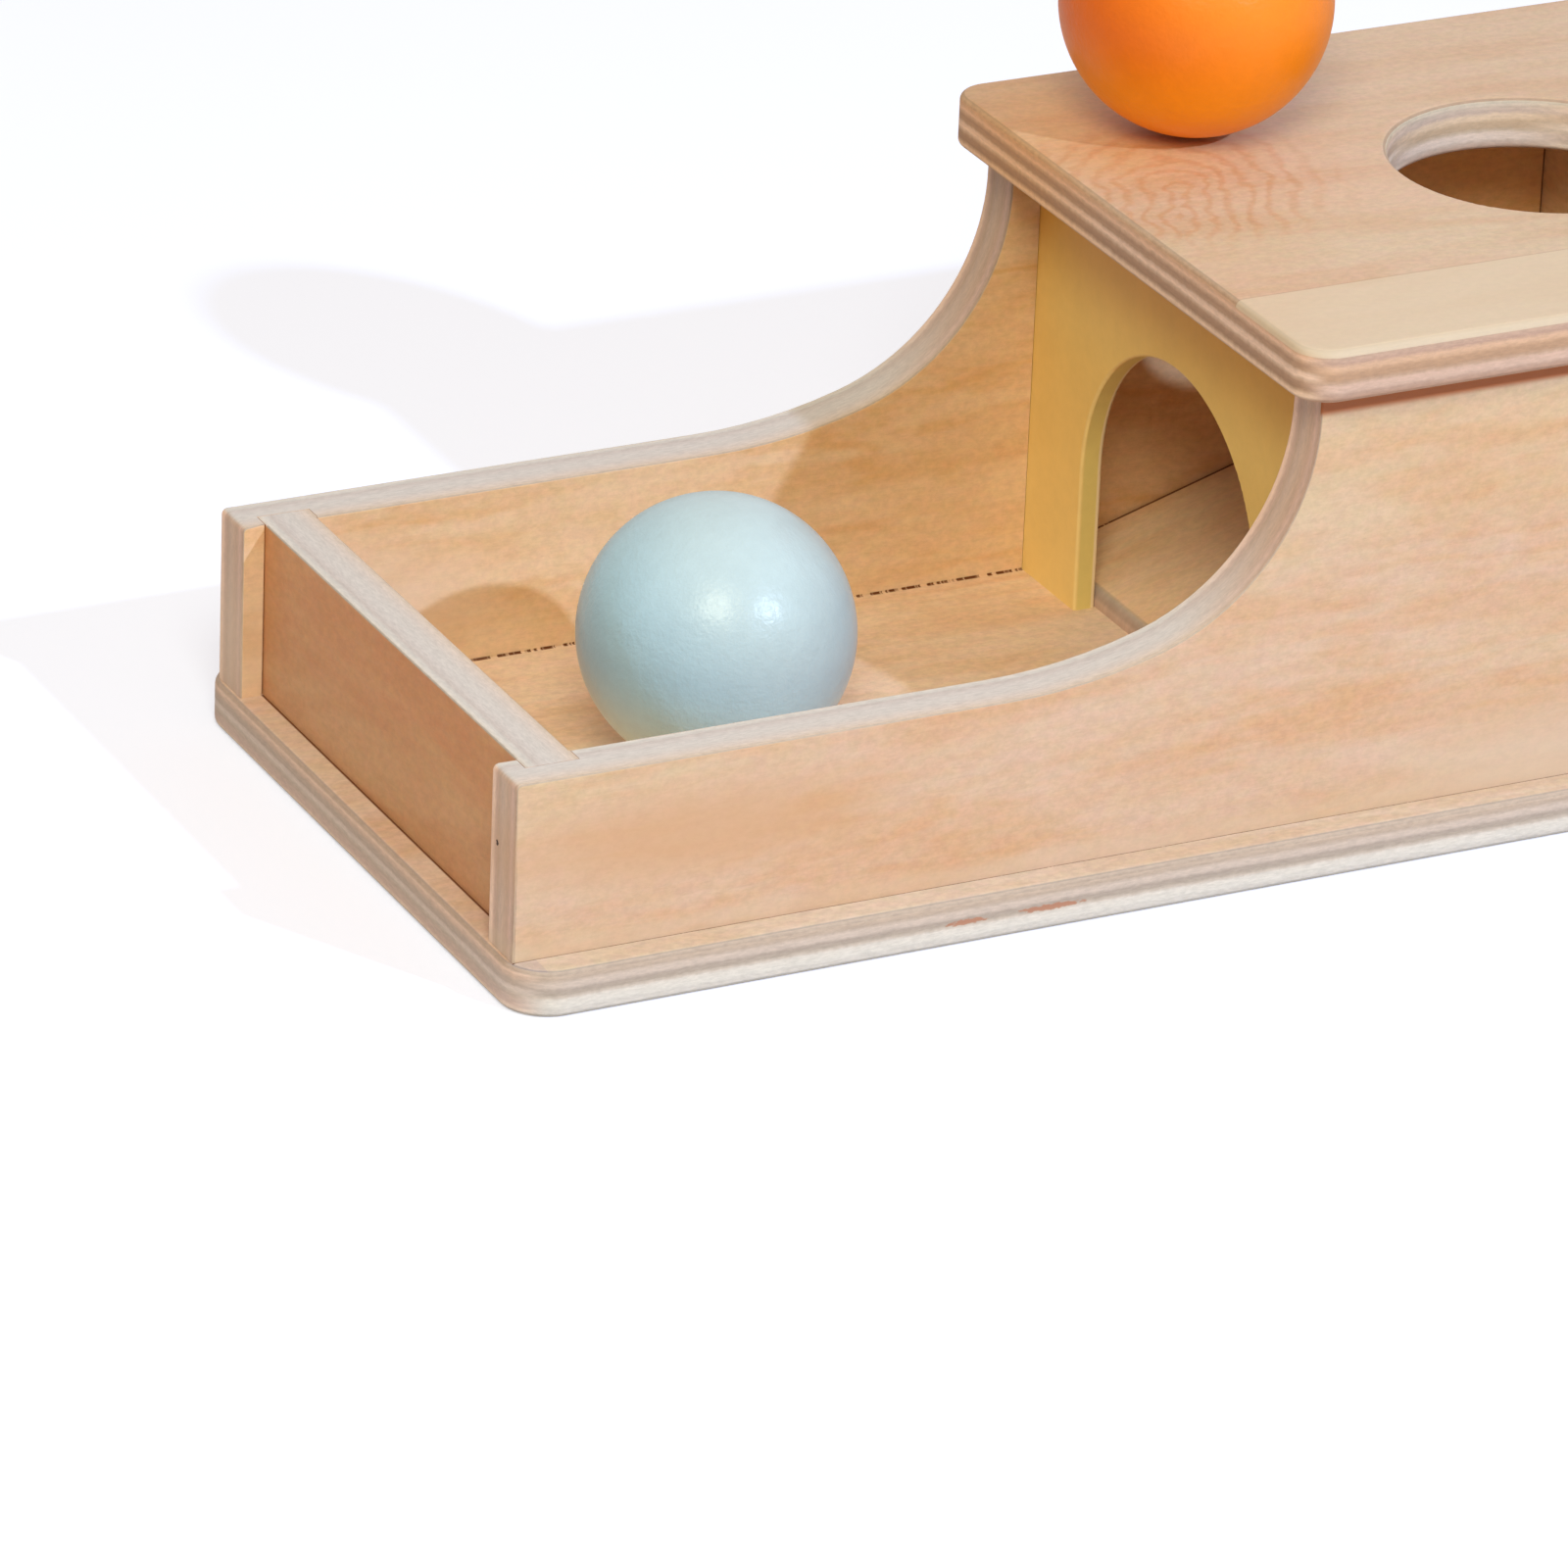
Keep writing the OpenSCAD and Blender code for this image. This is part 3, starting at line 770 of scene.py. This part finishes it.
sanded_wall(
    "near_side_wall",
    ply_material(
        "near_wall_birch", WALL_PLY, UPRIGHT, (-WALL_INNER, -WALL_OUTER), WALL_TONES, seed=2.0,
        figure=0.20, slant=-0.02, clouds=0.75, extra=near_wall_marks_and_painted_shadow,
    ),
)
sanded_wall(
    "far_side_wall",
    ply_material(
        "far_wall_birch", WALL_PLY, UPRIGHT, (WALL_OUTER, WALL_INNER), FAR_TONES, seed=4.0,
        figure=0.35, slant=0.03, clouds=0.75, extra=inner_wood_and_painted_shade,
        joints=[(Z, BASE_TOP, X, 0.35 * MM, 0.46, *IN_TRAY),
                (X, REAR_END[0], Z, 0.4 * MM, 0.2, *ANYWHERE)],
    ),
)


# Paint: a satin coat, with a stipple that the roller leaves


def make_paint():
    """A painted surface: slow drifts of tone, a fine mottle, a stipple for the bump, and uneven
    gloss."""
    tree, given, result = group(
        "satin_paint",
        {"Place": "Vector", "Paint": "Color", "Gloss": "Float", "Stipple": "Float"},
        {"Color": "Color", "Roughness": "Float", "Height": "Float"},
    )
    place = in_mm(tree, given["Place"])
    drift = noise(tree, place, (14, 14, 14), detail=3.0, roughness=0.55)
    stipple = noise(tree, place, (0.9, 0.9, 0.9), roughness=0.6)
    mottle = noise(tree, place, (2.2, 2.2, 2.2), detail=3.0, roughness=0.65)
    level = plus(tree, remap(tree, drift, 0.25, 0.75, 0.965, 1.02),
                 remap(tree, mottle, 0.25, 0.75, -0.02, 0.02))
    height = plus(tree, times(tree, stipple, given["Stipple"]), drift)
    uneven = remap(tree, stipple, 0.2, 0.8, -0.03, 0.03)
    feed(tree, result, {
        "Color": shaded(tree, given["Paint"], level),
        "Roughness": plus(tree, given["Gloss"], uneven),
        "Height": plus(tree, height, times(tree, mottle, given["Stipple"])),
    })
    return tree


PAINT = make_paint()

# Where the painted lit side of a ball faces

PAINTED_LIT_SIDE = (0.50, -0.50, 0.71)


def ball_material(name, lit, shade, painted_bounce_below, roughness, gloss):
    """Painted wood, glossy enough for soft highlights, with a stipple that breaks them up. The
    colour is painted lighter on the side that faces up and towards the near right, painted light
    from the lamps, and lighter again below, painted bounce light from the floor."""
    material, tree, surface = new_material(name)
    coordinates = node(tree, "TexCoord").outputs
    facing = node(tree, "VectorMath", {0: coordinates["Normal"], 1: PAINTED_LIT_SIDE},
                  operation="DOT_PRODUCT").outputs["Value"]
    paint = mixed(tree, remap(tree, facing, -0.3, 0.8), shade, lit)
    up = split(tree, coordinates["Normal"])[Z]
    paint = mixed(tree, remap(tree, up, -0.75, 0.05, 1.0, 0.0), paint, painted_bounce_below)
    inputs = {"Place": coordinates["Object"], "Paint": paint, "Gloss": roughness, "Stipple": 0.6}
    coat = use(tree, PAINT, inputs)
    looks = {
        "Base Color": coat["Color"],
        "Roughness": coat["Roughness"],
        "Specular IOR Level": gloss,
    }
    finish_surface(tree, surface, looks, coat["Height"], strength=0.3, distance=0.4 * MM)
    return material


# Each ball's lit, shaded and underside colours: painted light, painted shade and painted bounce
BLUE = (srgb(190, 210, 217), srgb(178, 220, 246), srgb(226, 255, 255))
ORANGE = (srgb(249, 137, 32), srgb(230, 106, 0), srgb(255, 148, 0))
dress("blue_ball", ball_material("pale_blue_ball", *BLUE, roughness=0.32, gloss=0.40))
dress("orange_ball", ball_material("orange_ball", *ORANGE, roughness=0.36, gloss=0.32))

# The arch's half circle, and the height where it leaves the jambs

ARCH_RADIUS = 29.5 * MM
ARCH_SPRING = 33.5 * MM

MUSTARD_PAINTED_LIGHT_LOW = srgb(250, 220, 140)
MUSTARD = srgb(246, 208, 122)
MUSTARD_PAINTED_SHADE_HIGH = srgb(222, 158, 55)
RUBBED_LINE = srgb(244, 212, 146)
THIN_COAT = srgb(230, 206, 126)
BARE_VENEER = srgb(240, 216, 176)


def panel_material():
    """Mustard paint on the panel's front, painted lighter towards the bottom and deeper towards the
    top, painted light and painted shade under the top board, and a thinner olive coat on the arch's
    cut edge, with rubbed arrises and the bare back veneer. The distance from the arch is measured
    from its half circle, and below that from its jambs."""
    material, tree, surface = new_material("mustard_panel")
    coordinates = node(tree, "TexCoord").outputs
    place = split(tree, coordinates["Object"])
    over = maths(tree, "MAXIMUM", minus(tree, place[Z], ARCH_SPRING), 0.0)
    away = minus(tree, length(tree, joined(tree, place[Y], over)), ARCH_RADIUS)
    depth = divided(tree, minus(tree, place[X], PANEL[0]), PANEL[1] - PANEL[0])
    # Painted light low down and painted shade high up, under the top board
    paint = mixed(tree, remap(tree, place[Z], 10 * MM, 56 * MM), MUSTARD_PAINTED_LIGHT_LOW, MUSTARD)
    paint = mixed(tree, remap(tree, place[Z], 56 * MM, 80 * MM), paint, MUSTARD_PAINTED_SHADE_HIGH)
    front_line = remap(tree, away, 0.25 * MM, 0.6 * MM, 0.55, 0.0)
    paint = mixed(tree, front_line, paint, RUBBED_LINE)
    cut = remap(tree, away, 0.0, 0.15 * MM, 1.0, 0.0)
    inside = times(tree, cut, remap(tree, depth, 0.06, 0.20))
    paint = mixed(tree, inside, paint, THIN_COAT)
    inputs = {"Place": coordinates["Object"], "Paint": paint, "Gloss": 0.46, "Stipple": 0.5}
    coat = use(tree, PAINT, inputs)
    colour = mixed(tree, remap(tree, depth, 0.76, 0.84), coat["Color"], BARE_VENEER)
    looks = {"Base Color": colour, "Roughness": coat["Roughness"]}
    finish_surface(tree, surface, looks, coat["Height"], strength=0.3, distance=0.1 * MM)
    return material


dress("arch_panel", panel_material())


def beech_material():
    """Plain beech, with short dark ray flecks along the grain."""
    material, tree, surface = new_material("bare_beech")
    place = in_mm(tree, node(tree, "TexCoord").outputs["Object"])
    fibre = noise(tree, place, (1.5, 14, 1.5), detail=3.0, roughness=0.6)
    ray = remap(tree, noise(tree, place, (0.5, 2.0, 0.5), detail=1.0), 0.60, 0.70)
    colour = mixed(tree, remap(tree, fibre, 0.3, 0.7), srgb(214, 176, 138), srgb(196, 152, 112))
    colour = mixed(tree, times(tree, ray, 0.4), colour, srgb(160, 112, 76))
    looks = {"Base Color": colour, "Roughness": remap(tree, fibre, 0.2, 0.8, 0.5, 0.66)}
    finish_surface(tree, surface, looks, fibre, strength=0.3, distance=0.1 * MM)
    return material


def zinc_material():
    """Bright zinc plating, a little mottled."""
    material, tree, surface = new_material("zinc_plate")
    place = in_mm(tree, node(tree, "TexCoord").outputs["Object"])
    mottle = noise(tree, place, (0.8, 0.8, 0.8), detail=4.0, roughness=0.6)
    feed(tree, surface, {
        "Base Color": mixed(tree, mottle, srgb(206, 208, 208), srgb(168, 170, 172)),
        "Roughness": remap(tree, mottle, 0.2, 0.8, 0.22, 0.42),
        "Metallic": 1.0,
    })
    return material


BEECH = beech_material()
dress("ramp_rest", BEECH)
dress("top_dowels", BEECH)
dress("base_screws", zinc_material())

# Light: a small key lamp high on the right of the near side, a broad one by the camera, and the
# room. Lamp colours and the room's are linear.

ROOM_LOW = (0.106, 0.101, 0.097, 1.0)
ROOM_HIGH = (0.640, 0.532, 0.449, 1.0)
WHITE = (1.0, 1.0, 1.0, 1.0)


def aimed_lamp(name, azimuth, elevation, distance, **settings):
    """A round lamp that shines on the middle of the object from a bearing. Azimuth is measured
    from the near side towards the right."""
    data = bpy.data.lights.new(name, "AREA")
    data.shape = "DISK"
    for key, value in settings.items():
        setattr(data, key, value)
    lamp = bpy.data.objects.new(name, data)
    a, e = math.radians(azimuth), math.radians(elevation)
    bearing = (math.sin(a) * math.cos(e), -math.cos(a) * math.cos(e), math.sin(e))
    lamp.location = [distance * c for c in bearing]
    lamp.rotation_euler = (math.radians(90) - e, 0, a)
    scene.collection.objects.link(lamp)


def light_room():
    """A dome that lights the object, paler overhead, and shows white to the camera and in gloss."""
    world = bpy.data.worlds.new("room")
    scene.world = world
    world.use_nodes = True
    tree = world.node_tree
    tree.nodes.clear()
    rays = node(tree, "LightPath").outputs
    direction = split(tree, node(tree, "TexCoord").outputs["Generated"])
    dome = mixed(tree, maths(tree, "MAXIMUM", direction[Z], 0.0), ROOM_LOW, ROOM_HIGH)
    room = node(tree, "Background", {"Color": dome, "Strength": 1.0})
    white = node(tree, "Background", {"Color": WHITE, "Strength": 1.0})
    seen = maths(tree, "MAXIMUM", rays["Is Camera Ray"], rays["Is Transmission Ray"])
    seen = maths(tree, "MAXIMUM", seen, rays["Is Glossy Ray"])
    either = node(tree, "MixShader", {0: seen, 1: room.outputs[0], 2: white.outputs[0]})
    node(tree, "OutputWorld", {"Surface": either.outputs[0]})


aimed_lamp("key_lamp", azimuth=23.4, elevation=36.2, distance=1.9, energy=19.9, size=0.046,
           color=(0.57, 0.735, 1.0))
aimed_lamp("broad_lamp", azimuth=-29.9, elevation=44.4, distance=1.8, energy=17.0, size=0.7,
           color=(1.0, 0.975, 0.74))
light_room()

FLOOR_HALF = 6.0
FLOOR_TINT = (0.80, 0.80, 0.80, 1.0)
FLOOR_SEEN_TINT = (0.62, 0.67, 0.86, 1.0)
FLOOR_GLOW = 0.45


def lay_floor():
    """A plain pale floor, lifted towards white where the camera sees it."""
    mesh = bpy.data.meshes.new("floor")
    corners = ((-1, -1), (1, -1), (1, 1), (-1, 1))
    points = [(FLOOR_HALF * x, FLOOR_HALF * y, 0.0) for x, y in corners]
    mesh.from_pydata(points, [], [(0, 1, 2, 3)])
    floor = bpy.data.objects.new("floor", mesh)
    scene.collection.objects.link(floor)
    material, tree, surface = new_material("pale_floor")
    seen = node(tree, "LightPath").outputs["Is Camera Ray"]
    feed(tree, surface, {
        "Base Color": mixed(tree, seen, FLOOR_TINT, FLOOR_SEEN_TINT),
        "Roughness": 0.9,
        "Specular IOR Level": 0.1,
    })
    glow = node(tree, "Emission", {"Strength": times(tree, seen, FLOOR_GLOW)})
    both = node(tree, "AddShader", {0: surface.outputs[0], 1: glow.outputs[0]})
    feed(tree, tree.nodes["Material Output"], {"Surface": both.outputs[0]})
    mesh.materials.append(material)


lay_floor()
